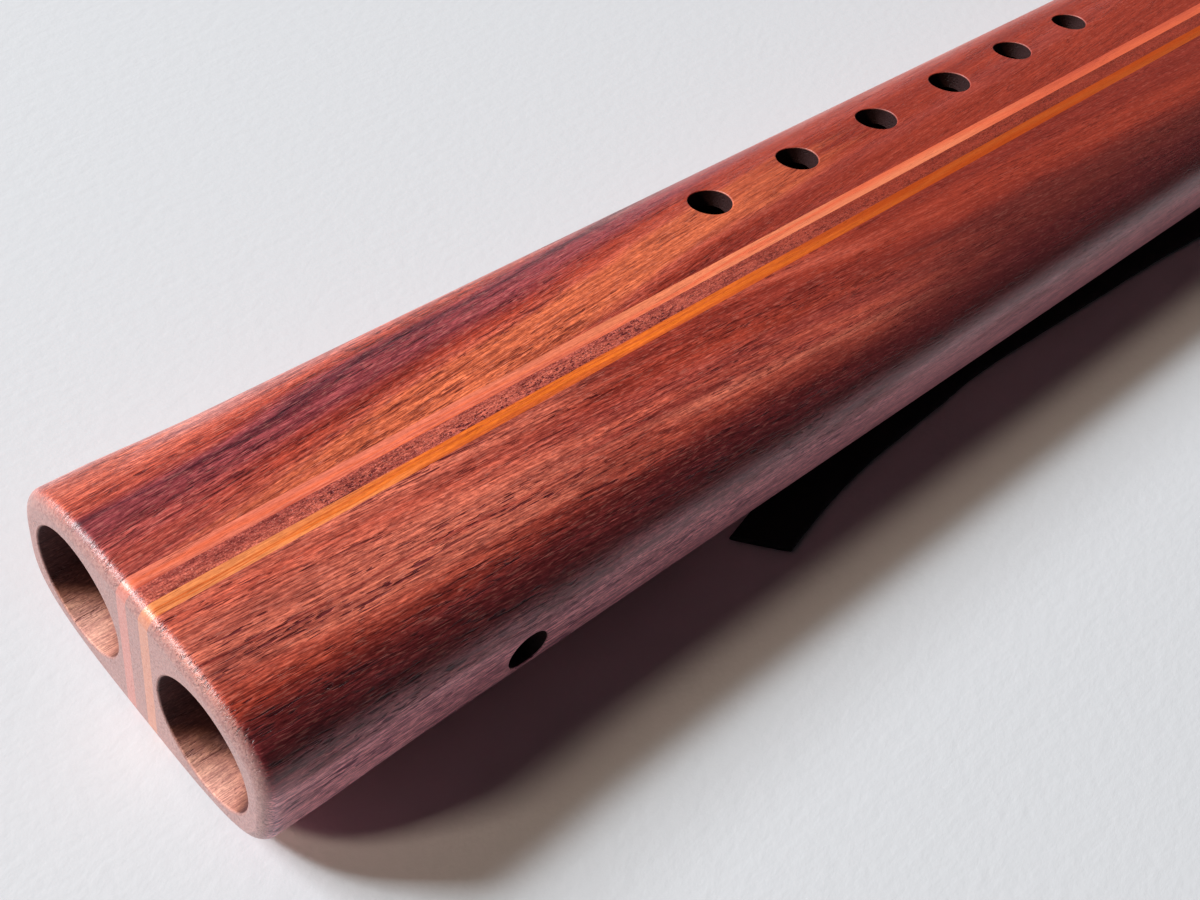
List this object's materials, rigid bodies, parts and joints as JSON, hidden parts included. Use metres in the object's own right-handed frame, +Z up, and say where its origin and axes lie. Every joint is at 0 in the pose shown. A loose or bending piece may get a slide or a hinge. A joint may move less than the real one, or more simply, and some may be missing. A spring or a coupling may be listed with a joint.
{
  "type": "native american flute",
  "caption": "Drone flute with side-by-side bores in a striped laminated wooden body, finger holes over the melody bore, and a saddle-shaped bird held by a black leather tie with a free tail.",
  "frame": {"origin": "on the surface that the flute rests on, under the middle of the flute", "axes": "+X along the flute from the foot to the mouth, +Y to the melody side, +Z up"},
  "size_m": [0.565, 0.0766, 0.0452],
  "materials": {
    "red_brown_wood": "oiled, satin, open-pored red-brown wood with dark and light streaks",
    "dark_core_wood": "oiled, satin, finely speckled brown wood",
    "coral_wood": "oiled, satin, coral wood with fine darker lines",
    "orange_wood": "oiled, satin, orange wood with fine darker lines",
    "black_leather": "matt black suede leather"
  },
  "bodies": {
    "flute": {"melody_plank_upper": "red_brown_wood", "melody_plank_lower": "red_brown_wood", "coral_strip_upper": "coral_wood", "coral_strip_lower": "coral_wood", "core_strip_upper": "dark_core_wood", "core_strip_lower": "dark_core_wood", "orange_strip_upper": "orange_wood", "orange_strip_lower": "orange_wood", "drone_plank_upper": "red_brown_wood", "drone_plank_lower": "red_brown_wood"},
    "bird": {"bird_block": "red_brown_wood", "tie_wrap": "black_leather", "tie_knot": "black_leather", "tie_tail": "black_leather"}
  },
  "joints": [
    {"name": "bird_slide", "type": "slide", "parent": "flute", "child": "bird", "axis": [1, 0, 0], "range_m": [-0.0025, 0.0025]}
  ]
}
